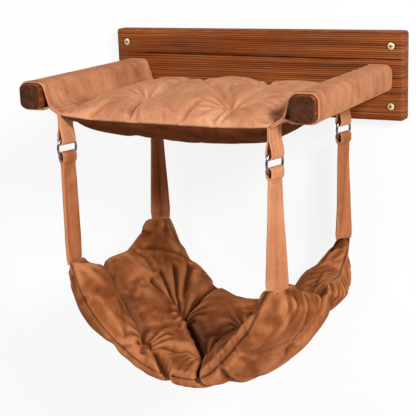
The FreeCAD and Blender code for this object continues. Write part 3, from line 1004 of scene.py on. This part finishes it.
# How far each rim hangs below its straps' feet: shares along it and drops
LEFT_RIM = ((-1.0, -0.85, -0.65, -0.45, -0.24, 0.0, 0.33, 0.45, 0.55, 0.65, 0.8, 1.0),
            (0.0, 0.0, 5.0, 14.0, 23.0, 19.0, 20.0, 13.0, 5.0, -2.0, -3.0, 0.0))
RIGHT_RIM = ((-1.0, -0.85, -0.65, -0.45, -0.25, -0.15, 0.05, 0.25, 0.45, 0.62, 0.78, 0.9, 1.0),
             (0.0, -3.0, 2.0, 12.0, 21.0, 23.0, 18.0, 20.0, 23.0, 24.0, 21.0, 12.0, 0.0))
RIM_SPREAD, HAMMOCK_LEAN = 19.0, 7.0
# Notches of the rims: side, share along, depth and width
RIM_NOTCHES = ((-1, -0.24, 7.0, 8.0), (1, -0.13, 7.0, 8.0))
# Shifts to the left towards an end: -1 the front one, share across, width and distance
END_SHIFTS = (
    (-1, -0.8, 0.26, 10.0), (-1, 0.62, 0.34, 14.0), (1, 0.74, 0.2, 10.0), (1, -0.66, 0.16, -6.0),
)
FOOT_LIFT, FOOT_BLEND = 7.0, 40.0
# Half the length of the pad's edge that is sewn to a strap, how far its middle lies along the
# side edge, the corner that is sewn on turned round, and how far above the foot a strap ends
FOOT_HALF = {"front_left": 15.5, "front_right": 15.5, "rear_left": 15.0, "rear_right": 14.5}
FOOT_OFFSET = {"front_left": 12.0, "front_right": 0.0, "rear_left": 0.0, "rear_right": 0.0}
TURNED_CORNER = "rear_right"
STRAP_ENDS = {"front_left": 4.5, "front_right": 4.5, "rear_left": 6.8, "rear_right": 4.5}
# Height of the flat band along the front edge, and the pad's fullness above and below
FLANGE, HAMMOCK_UPPER, HAMMOCK_LOWER = 10.0, 19.0, 25.0
# Fullness of the corners, and how far from the strap's foot it starts and ends to fade
CORNER_PLUMP = {
    "front_left": (0.72, 60.0, 175.0), "front_right": (0.72, 50.0, 150.0),
    "rear_left": (0.6, 40.0, 115.0), "rear_right": (0.85, 55.0, 150.0),
}
# Swells of the upper panel: the line they follow, their height and their width
UPPER_SWELLS = (
    (((-0.8, -0.95), (-0.76, -0.78), (-0.84, -0.56)), 12.0, 24.0),
    (((0.3, -0.66), (0.3, -0.9)), 5.0, 40.0),
    (((-0.12, -0.86), (-0.26, -0.7), (-0.42, -0.55)), -9.0, 22.0),
    (((-0.02, -0.18), (0.06, -0.06)), -14.0, 20.0),
)
# Places on the pad as shares along it, front to back, and across it, left to right
TUFT_FL, TUFT_FR = (-0.66, -0.45), (-0.48, 0.05)
TUFT_BL, TUFT_BR = (0.18, -0.41), (0.32, 0.13)
HAMMOCK_TUFTS = (TUFT_FL, TUFT_FR, TUFT_BL, TUFT_BR)
HAMMOCK_SPOTS = [(a * HAMMOCK_HALF_Y, b * HAMMOCK_HALF_ARC) for a, b in HAMMOCK_TUFTS]
HAMMOCK_PLEATS = (11, 12, 14, 10)
NOTCH_FOLD = ((-0.24, -1.0), (-0.3, -0.9), (-0.38, -0.81), (-0.5, -0.69), (-0.6, -0.56), TUFT_FL)
# Folds of each panel: the line they follow, their depth, their width and how firmly they are held
UPPER_FOLDS = (
    (NOTCH_FOLD, 34.0, 12.0, 0.95),
    ((TUFT_BL, (-0.05, -0.24), (-0.27, -0.10), TUFT_FR), 15.0, 10.0, 0.7),
    ((TUFT_BL, (0.36, -0.58), (0.62, -0.74)), 9.0, 6.0, 0.4),
    ((TUFT_BL, (0.28, -0.6), (0.40, -0.76)), 8.0, 6.0, 0.4),
    ((TUFT_BL, (0.19, -0.6), (0.20, -0.76)), 6.0, 6.0, 0.3),
    ((TUFT_BL, (0.45, -0.56), (0.82, -0.70)), 8.0, 7.0, 0.4),
    ((TUFT_BL, (0.5, -0.43), (0.97, -0.46)), 11.0, 9.0, 0.6),
    ((TUFT_FL, (-0.85, -0.26), (-1.0, -0.12)), 11.0, 8.0, 0.6),
    ((TUFT_FR, (-0.75, 0.14), (-1.0, 0.22)), 12.0, 8.0, 0.6),
    ((TUFT_FL, (-0.6, -0.2), TUFT_FR), 8.0, 9.0, 0.3),
    ((TUFT_FR, (-0.1, 0.1), TUFT_BR), 13.0, 13.0, 0.5),
    ((TUFT_BR, (0.3, 0.5), (-0.05, 0.98)), 10.0, 12.0, 0.4),
)
# Painted shade on the upper panel, darker in its folds and hollows: the line, its width and its
# strength
UPPER_SHADES = (
    (((-0.2, -0.97), (-0.27, -0.86), (-0.35, -0.76), (-0.47, -0.64), (-0.57, -0.52)), 12.0, 0.85),
    (((0.12, -0.33), (-0.08, -0.16), (-0.25, -0.05)), 13.0, 0.9),
    (((0.3, 0.06), (0.0, 0.0)), 24.0, 0.45),
    (((0.62, -0.9), (0.5, -0.8)), 26.0, 0.3),
)
LOWER_FOLDS = (
    (((-1.0, -0.12), (-0.8, -0.12), (-0.6, -0.1)), 8.0, 7.0, 0.5),
    (((-1.0, 0.22), (-0.8, 0.24), (-0.55, 0.24)), 9.0, 7.0, 0.5),
    (((-0.96, 0.5), (-0.82, 0.42), (-0.62, 0.34)), 4.0, 8.0, 0.0),
    (((-0.75, 0.62), (-0.6, 0.5), (-0.4, 0.4)), 3.0, 8.0, 0.0),
    (((-0.12, 1.0), (-0.2, 0.88), (-0.3, 0.72)), 9.0, 8.0, 0.3),
    (((-0.5, 0.97), (-0.5, 0.86), (-0.48, 0.74)), 4.0, 7.0, 0.0),
    (((-0.3, 0.98), (-0.36, 0.86), (-0.42, 0.7)), 4.0, 6.0, 0.0),
    (((0.12, 0.98), (0.02, 0.82), (-0.1, 0.66)), 6.0, 8.0, 0.0),
)


def strap_way(row, side, share):
    """The direction of a strap's width, a share of the way down from its ring."""
    degrees = LOOP_DEGREES - STRAP_TURN[f"{row}_{side}"] * share
    return np.array([math.cos(math.radians(degrees)), math.sin(math.radians(degrees)), 0.0])


def hammock_middle(along, across):
    """The pad's middle surface and its upward normals."""
    y = HAMMOCK_MIDDLE_Y + along * HAMMOCK_HALF_Y
    bow = 1 - (along / 0.947) ** 2
    half_x = 137.0 + RIM_SPREAD * bow
    drop = np.where(across < 0, np.interp(along, *LEFT_RIM), np.interp(along, *RIGHT_RIM))
    rim_z = FOOT_Z - 2.3 - drop
    low_z = FOOT_Z - HAMMOCK_DEPTH - HAMMOCK_BELLY * (1 - along**2) + HAMMOCK_TILT * along
    fall = rim_z - low_z
    x = across * half_x + HAMMOCK_LEAN * (1 - across**2)
    for end, share, width, shift in END_SHIFTS:
        x = x - shift * bell(across - share, width) * ease(0.3, 0.95, end * along)
    z = rim_z - fall * (1 - np.abs(across) ** HAMMOCK_POWER)
    for side, share, depth, width in RIM_NOTCHES:
        notch = depth * bell((along - share) * HAMMOCK_HALF_Y, width)
        z = z - notch * np.maximum(across * side, 0) ** 8
    slope = np.sign(across) * np.abs(across) ** (HAMMOCK_POWER - 1)
    slope = slope * HAMMOCK_POWER * fall / half_x
    points = np.stack([x, y + 0 * x, z], axis=-1)
    normals = unit(np.stack([-slope, 0 * slope, 1 + 0 * slope], axis=-1))
    return points, normals


def pad_distance(along, across, line):
    """Distance of each place on the pad from a line of places, in millimetres."""
    here = np.stack([along * HAMMOCK_HALF_Y, across * HAMMOCK_HALF_ARC], axis=-1)
    marks = np.array(line) * (HAMMOCK_HALF_Y, HAMMOCK_HALF_ARC)
    nearest = np.full(along.shape, np.inf)
    for start, end in zip(marks, marks[1:]):
        way = end - start
        share = np.clip((here - start) @ way / (way @ way), 0, 1)
        nearest = np.minimum(nearest, np.linalg.norm(here - start - share[..., None] * way, axis=-1))
    return nearest


def foot_line(middle, loop, fixed):
    """Lays the pad's corners along the feet of the straps that they are sewn to."""
    for row, side in CORNERS:
        i0 = 0 if row == "front" else HAMMOCK_ROWS - 1
        j0 = 0 if side == "left" else HAMMOCK_COLUMNS - 1
        foot = corner_place(row, side, FOOT_Z + FOOT_LIFT)
        way = strap_way(row, side, 1.0)
        if row == "rear" and f"{row}_{side}" != TURNED_CORNER:
            way = -way
        half, offset = FOOT_HALF[f"{row}_{side}"], FOOT_OFFSET[f"{row}_{side}"]
        at = loop.index((i0, j0))
        moves = {}
        for turn in (-1, 1):
            sign = 1 if loop[(at + turn) % len(loop)][1] == j0 else -1
            reach = half + sign * offset
            run, k, move = 0.0, at, np.zeros(3)
            while run < reach + FOOT_BLEND:
                i, j = loop[k % len(loop)]
                if run <= reach:
                    move = foot + way * (sign * run - offset) - middle[i, j]
                    fixed.append((i, j))
                moves[(i, j)] = move * (1 - ease(reach, reach + FOOT_BLEND, run))
                k += turn
                i2, j2 = loop[k % len(loop)]
                run += np.linalg.norm(middle[i2, j2] - middle[i, j])
        near = bell(np.linalg.norm(middle - foot, axis=-1), 30.0)
        moved = middle + near[..., None] * np.mean([moves[p] for p in fixed if p in moves], axis=0)
        for place, move in moves.items():
            moved[place] = middle[place] + move
        middle = moved
    return middle


def hammock_wrinkles(along, across, panel):
    """Sharp folds, pleats at the tufts and puckers along the seams, as heights off the cloth."""
    u, v = along * HAMMOCK_HALF_Y, across * HAMMOCK_HALF_ARC
    upper = pleats(u, v, HAMMOCK_SPOTS, HAMMOCK_PLEATS, 1.3, 58.0)
    for line, depth, width, _ in UPPER_FOLDS:
        upper = upper + crease(pad_distance(along, across, line), 0.3 * depth, 0.4 * width)
    lower = np.zeros_like(along)
    for line, depth, width, _ in LOWER_FOLDS:
        lower = lower + crease(pad_distance(along, across, line), 0.35 * depth, 0.45 * width)
    front = HAMMOCK_HALF_Y + u
    right, left = HAMMOCK_HALF_ARC - v, HAMMOCK_HALF_ARC + v
    puckers = np.zeros_like(along)
    edges = ((front, v, 17.0, 16.0, 0.6), (right, u, 12.0, 20.0, 1.5), (left, u, 19.0, 12.0, 0.6))
    for gap, run, step, reach, height in edges:
        wave = height * np.sin(2 * math.pi * run / step + 2.2 * np.sin(run / 31.0))
        wave = wave * (0.55 + 0.45 * np.sin(run / 23.0))
        puckers += wave * np.exp(-gap / reach) * ease(1, 7, gap)
    side_gap, end_gap = HAMMOCK_HALF_ARC - np.abs(v), HAMMOCK_HALF_Y - np.abs(u)
    angle, reach = np.arctan2(side_gap, end_gap), np.hypot(side_gap, end_gap)
    fan = np.sin(15 * angle + 2 * np.sin(3 * angle))
    puckers += fan * ease(5, 12, reach) * (1 - ease(18, 55, reach))
    lift = np.where(panel > 0, upper, lower) + puckers
    inside = np.clip(np.abs(panel), 0, 1)
    band = flange_band(across) * (along < -0.9)
    seam = (0.8 + 1.6 * band) * ease(25, 45, reach)
    return lift * inside - seam * (1 - inside)


def flange_band(across):
    """Where the front edge is turned up into a flat band, from 0 to 1."""
    return ease(0.16, 0.3, across) * (1 - ease(0.84, 0.97, across))


def hammock_pad():
    along, across = share_grids(HAMMOCK_ROWS, HAMMOCK_COLUMNS)
    # columns closer to evenly spaced along the sling's arc
    across = np.sign(across) * (0.82 * np.abs(across) + 0.18 * (1 - (1 - np.abs(across)) ** 2))
    middle, normals = hammock_middle(along, across)
    full = swell(across, 2.6) * swell(along, 2.4)
    loop = border(HAMMOCK_ROWS, HAMMOCK_COLUMNS)
    fixed = []
    middle = foot_line(middle, loop, fixed)
    front_gap = (1 + along) * HAMMOCK_HALF_Y
    edge_gap = np.minimum(
        (1 - np.abs(along)) * HAMMOCK_HALF_Y, (1 - np.abs(across)) * HAMMOCK_HALF_ARC
    )
    for row, side in CORNERS:
        foot = corner_place(row, side, FOOT_Z)
        near = np.linalg.norm(middle - foot, axis=-1)
        height, start, end = CORNER_PLUMP[f"{row}_{side}"]
        plump = height * (1 - ease(start, end, near)) * ease(-1, 9, edge_gap)
        full = np.maximum(full, plump)
    band = flange_band(across)
    crown, under = np.maximum(HAMMOCK_UPPER * full, 1.0), np.maximum(HAMMOCK_LOWER * full, 1.0)
    crown = mix(crown, np.minimum(crown, FLANGE + 0.3 * np.maximum(front_gap - 8, 0)), band)
    crown = np.maximum(crown, FLANGE * band * (1 - ease(9, 34, front_gap)))
    upper_pins = np.where((band > 0.4) & (front_gap < 5), 0.95, 0.0)
    lower_pins = np.zeros_like(upper_pins)
    for line, height, width in UPPER_SWELLS:
        crown = crown + height * full * bell(pad_distance(along, across, line), width)
    for line, depth, width, hold in UPPER_FOLDS:
        distance = pad_distance(along, across, line)
        crown = crown - np.minimum(depth, crown + 13.0) * bell(distance, width)
        upper_pins = np.maximum(upper_pins, np.where(distance < 2.2, hold, 0))
    for line, depth, width, hold in LOWER_FOLDS:
        distance = pad_distance(along, across, line)
        under = under - np.minimum(depth, under) * bell(distance, width)
        lower_pins = np.maximum(lower_pins, np.where(distance < 2.2, hold, 0))
    for tuft in HAMMOCK_TUFTS:
        distance = pad_distance(along, across, (tuft, (tuft[0] + 0.001, tuft[1])))
        crown = mix(crown, 0.5, bell(distance, 15.0))
        under = mix(under, 9.0, bell(distance, 15.0) * 0.8)
        upper_pins[distance < 3.4] = 1.0
        lower_pins[distance < 3.4] = 1.0
    upper = middle + normals * crown[..., None]
    lower = middle - normals * under[..., None]
    pad, under_of = pad_mesh("hammock_pad", middle, upper, lower, (along, across), HAMMOCK_VELVET)
    weights = np.zeros(len(pad.data.vertices))
    weights[: upper_pins.size] = upper_pins.ravel()
    weights[under_of[1:-1, 1:-1].ravel()] = lower_pins[1:-1, 1:-1].ravel()
    for i, j in loop:
        weights[i * HAMMOCK_COLUMNS + j] = max(0.5, weights[i * HAMMOCK_COLUMNS + j])
    for i, j in fixed:
        weights[i * HAMMOCK_COLUMNS + j] = 1.0
    edge = {i * HAMMOCK_COLUMNS + j for i, j in loop}
    edge |= {HAMMOCK_COLUMNS + j for j in np.where(band[1] > 0.4)[0].tolist()}
    settle(pad, weights, 26, 12.0, 0.045, 0.35, 18.0)
    subdivided(pad, edge)
    along, across, panel = pad_marks(pad)
    lift = hammock_wrinkles(along, across, panel)
    set_coordinates(pad, coordinates(pad) + point_normals(pad) * lift[:, None])
    # Painted shade mark for the velvet, on the upper panel only
    shade = np.zeros_like(along)
    for line, width, strength in UPPER_SHADES:
        shade = np.maximum(shade, strength * bell(pad_distance(along, across, line), width))
    mark_points(pad, "shade", shade * (panel > 0))
    u, v = along * HAMMOCK_HALF_Y, across * HAMMOCK_HALF_ARC
    pairs = tuft_points(HAMMOCK_SPOTS, u, v, panel)
    fitted(pad, "hammock", "velvet", "hammock_cover", "hammock_filling")
    tufting("hammock_tufting", "hammock", "hammock_tuft_ties", pad, pairs)


# Tabs and straps


FOLD_HALF = 4.6
THROAT_HALF = 3.9
TAB_TOP = -24.5
TAB_STEPS, TAB_RIBS, TAB_RIB_HEIGHT = 11, 3.0, 0.55


def corner_place(row, side, z):
    """The place at a height on a strap's middle line."""
    return np.array([SIDES[side] * SEAT_X, STRAP_Y[row], z])


def face_way(way):
    """The direction that a strip of cloth faces, from the direction of its width."""
    return np.array([-way[1], way[0], 0.0])


def loop_grid(row, side, up, far_z, width, steps=7):
    """A cloth strip folded over a ring's wire, closing towards far_z, as a grid."""
    fold_z = RING_Z + up * 9.26
    top_z = fold_z - up * FOLD_HALF
    shut = CLOTH * 0.52
    outline = [
        (-shut, far_z), (-shut, mix(far_z, RING_Z + up * RING_RADIUS, 0.55)),
        (-THROAT_HALF, RING_Z + up * (RING_RADIUS + 1.5)), (-FOLD_HALF, top_z), (FOLD_HALF, top_z),
        (THROAT_HALF, RING_Z + up * (RING_RADIUS + 1.5)),
        (shut, mix(far_z, RING_Z + up * RING_RADIUS, 0.55)), (shut, far_z),
    ]
    path = rounded_path(outline, (4.0, 4.0, FOLD_HALF - 0.2, FOLD_HALF - 0.2, 4.0, 4.0), 1.2)
    way = strap_way(row, side, 0.0)
    out = face_way(way)
    shares = np.linspace(-0.5, 0.5, steps)
    grid = np.zeros((len(path), steps, 3))
    for i, (offset, z) in enumerate(path):
        for j, share in enumerate(shares):
            grid[i, j] = corner_place(row, side, z) + way * share * width + out * offset
    return grid


def strap_crease(corner, share, wide):
    """How far a strap's face stands out of its plane: each one hangs in its own soft fold."""
    if corner == "front_left":
        fold = 4.2 * bell(wide + 0.12 + 0.1 * share, 0.2) - 1.6 * bell(wide - 0.3, 0.16)
        return fold * ease(0.0, 0.25, share) * (1 - ease(0.75, 0.98, share))
    if corner == "rear_right":
        fold = wide - 0.45 + 0.75 * share
        return 3.2 * bell(fold, 0.2) * ease(0.05, 0.3, share) * (1 - 0.5 * ease(0.9, 1.0, share))
    if corner == "rear_left":
        fold = wide + 0.05 - 0.18 * share
        return 2.6 * bell(fold, 0.18) * ease(0.1, 0.4, share) + 1.6 * bell(share - 0.95, 0.03)
    return 0.9 * bell(wide - 0.1, 0.4) * math.sin(math.pi * share)


def strap_body_grid(row, side, steps=13, stations=56):
    corner = f"{row}_{side}"
    start_z, end_z = RING_Z - 17.0, FOOT_Z + STRAP_ENDS[corner]
    grid = np.zeros((stations, steps, 3))
    for i in range(stations):
        share = i / (stations - 1)
        way = strap_way(row, side, share)
        out = face_way(way)
        width = mix(LOOP_WIDTH, FOOT_WIDTH, share) - 0.8
        place = corner_place(row, side, mix(start_z, end_z, share))
        for j in range(steps):
            wide = j / (steps - 1) - 0.5
            at = Vector((wide * 3 + place[0], place[2] / 22.0, place[1] / 50))
            ripple = 0.35 * noise.noise(at)
            lift = strap_crease(corner, share, wide) + ripple
            edge = width * wide * (1 - 0.015 * abs(strap_crease(corner, share, 0.0)))
            grid[i, j] = place + way * edge + out * lift
    return grid


def strap(row, side):
    corner = f"{row}_{side}"
    loop = loop_grid(row, side, -1, RING_Z - 24.0, LOOP_WIDTH - 0.4)
    body = strap_body_grid(row, side)
    thin = 1 - 0.75 * ease(0.93, 1.0, np.linspace(0, 1, len(body)))[:, None]
    layers = joined([slab(loop, CLOTH), slab(body, 2 * CLOTH * thin)])
    # The front right strap gets the plain velvet, the others the darker copy as painted shade.
    velvet_here = STRAP_VELVET if corner == "front_right" else STRAP_PAINTED_SHADE
    piece = mesh_object(f"{corner}_strap_cloth", *layers, velvet_here)
    fitted(piece, f"{corner}_strap", "velvet", f"{corner}_strap")
    normals = surface_normals(body)
    rows = []
    for sign in (-1, 1):
        face = body + normals * sign * CLOTH
        rows.append(stitch_row(face[2], normals[2] * sign, 2.0, 0.9))
    thread = mesh_object(f"{corner}_strap_stitching", *joined(rows), THREAD)
    fitted(thread, f"{corner}_strap", "thread")


def tab(row, side):
    corner = f"{row}_{side}"
    grid = loop_grid(row, side, 1, TAB_TOP, LOOP_WIDTH - 0.4, TAB_STEPS)
    if corner == "front_right":
        shares = np.linspace(-0.5, 0.5, TAB_STEPS)
        ribs = np.cos(shares * 2 * math.pi * TAB_RIBS) * TAB_RIB_HEIGHT
        grid = grid + ribs[None, :, None] * face_way(strap_way(row, side, 0))
    piece = mesh_object(f"{corner}_tab_cloth", *slab(grid, CLOTH), STRAP_VELVET)
    fitted(piece, "sling", "velvet", f"{corner}_tab")


# Stage, light and camera


VIEW_TARGET = Vector((0.0, -0.150, -0.120))
VIEW_AZIMUTH, VIEW_ELEVATION, VIEW_ROLL = 28.05, 13.22, -2.05
VIEW_DISTANCE = 1.3018
LENS = 89.87
SHIFT = (-0.0018, -0.0642)
SHADOW_SHARE = 0.15
STAGE_REACH, STAGE_TOP, FLOOR_Z, WALL_Y = 6000, 5000, -640, 1.5
LIGHT_TARGET, LIGHT_COLOUR = (0, -0.12, -0.15), (1.0, 0.99, 0.97)
WORLD_STRENGTH = 0.2


def make_camera():
    azimuth, elevation, roll = (math.radians(a) for a in (VIEW_AZIMUTH, VIEW_ELEVATION, VIEW_ROLL))
    level = math.cos(elevation)
    back = Vector((math.sin(azimuth) * level, -math.cos(azimuth) * level, math.sin(elevation)))
    right = (-back).cross(Vector((0, 0, 1))).normalized()
    up = right.cross(-back)
    right, up = (
        right * math.cos(roll) + up * math.sin(roll),
        up * math.cos(roll) - right * math.sin(roll),
    )
    camera = bpy.data.objects.new("camera", bpy.data.cameras.new("camera"))
    camera.data.lens = LENS
    camera.data.sensor_width = 36
    camera.data.shift_x, camera.data.shift_y = SHIFT
    camera.matrix_world = Matrix.Translation(VIEW_TARGET + back * VIEW_DISTANCE) @ Matrix(
        (right, up, back)
    ).transposed().to_4x4()
    scene.collection.objects.link(camera)
    scene.camera = camera


def stage_plane(name, points, material):
    plane = mesh_object(name, points, [(0, 1, 2, 3)], material)


def wall_paint():
    """White with a light shadow to the eye and in reflections; sight passes from behind."""
    white = (0.96, 0.96, 0.96, 1)
    shader = Shader("wall_paint", Base_Color=white, Roughness=0.95, Specular_IOR_Level=0.0)
    light = shader.node("LightPath")
    seen = shader.math("MAXIMUM", light.outputs["Is Camera Ray"], light.outputs["Is Glossy Ray"])
    seen = shader.math("MAXIMUM", seen, light.outputs["Is Transmission Ray"])
    back = shader.node("NewGeometry").outputs["Backfacing"]
    share = shader.math("MULTIPLY", seen, shader.math("SUBTRACT", 1.0, back))
    white = shader.node("Emission", Color=(1, 1, 1, 1), Strength=1.0).outputs["Emission"]
    shaded = shader.node("MixShader", _0=SHADOW_SHARE, _1=white, _2=shader.bsdf.outputs["BSDF"])
    clear = shader.node("BsdfTransparent").outputs["BSDF"]
    mixed = shader.node("MixShader", _0=share, _1=clear, _2=shaded.outputs[0])
    out = shader.tree.nodes["Material Output"]
    shader.tree.links.new(mixed.outputs[0], out.inputs["Surface"])
    return shader.material


def floor_paint():
    shader = Shader("floor_paint", Roughness=0.95, Specular_IOR_Level=0.0)
    cloud = shader.noise(EVEN, 3.0, 2.0)
    stops = [(0.3, (0.84, 0.84, 0.84, 1)), (0.7, (0.88, 0.88, 0.88, 1))]
    shader.colour(shader.ramp(cloud, stops))
    return shader.material


def area_light(name, place, size, power):
    data = bpy.data.lights.new(name, "AREA")
    data.shape = "DISK"
    data.size = size
    data.energy = power
    data.color = LIGHT_COLOUR
    light = bpy.data.objects.new(name, data)
    light.location = place
    way = Vector(LIGHT_TARGET) - Vector(place)
    light.rotation_euler = way.to_track_quat("-Z", "Y").to_euler()
    scene.collection.objects.link(light)


def make_stage():
    ends = (-STAGE_REACH, STAGE_REACH)
    near = [(x, -STAGE_REACH, FLOOR_Z) for x in ends]
    foot = [(x, WALL_Y, FLOOR_Z) for x in ends]
    top = [(x, WALL_Y, STAGE_TOP) for x in ends]
    stage_plane("wall", foot + top[::-1], wall_paint())
    stage_plane("floor", near + foot[::-1], floor_paint())
    area_light("key", (1.85, -1.5, 1.0), 0.6, 60)
    area_light("fill", (-1.0, -1.9, 1.4), 0.8, 20)
    world = bpy.data.worlds.new("world")
    scene.world = world
    world.use_nodes = True
    background = world.node_tree.nodes["Background"]
    background.inputs["Color"].default_value = (1, 1, 1, 1)
    background.inputs["Strength"].default_value = WORLD_STRENGTH
    scene.view_settings.view_transform = "Standard"


def finish_nodes():
    """Gives the frame's own solids that stay in sight their materials."""
    finishes = {"left_arm": ARM_WOOD, "right_arm": ARM_WOOD, "arm_screws": STEEL}
    for row, side in CORNERS:
        finishes[f"{row}_{side}_ring"] = NICKEL
        finishes[f"{row}_{side}_foot_stitch"] = THREAD
    for name, material in finishes.items():
        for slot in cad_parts[name].material_slots:
            slot.material = material


make_camera()
make_stage()
finish_nodes()
board_piece()
wall_screws()
for side_name, sign in SIDES.items():
    sleeve(f"{side_name}_sleeve", sign)
seat_pad()
hammock_pad()
for row_name, side_name in CORNERS:
    strap(row_name, side_name)
    tab(row_name, side_name)
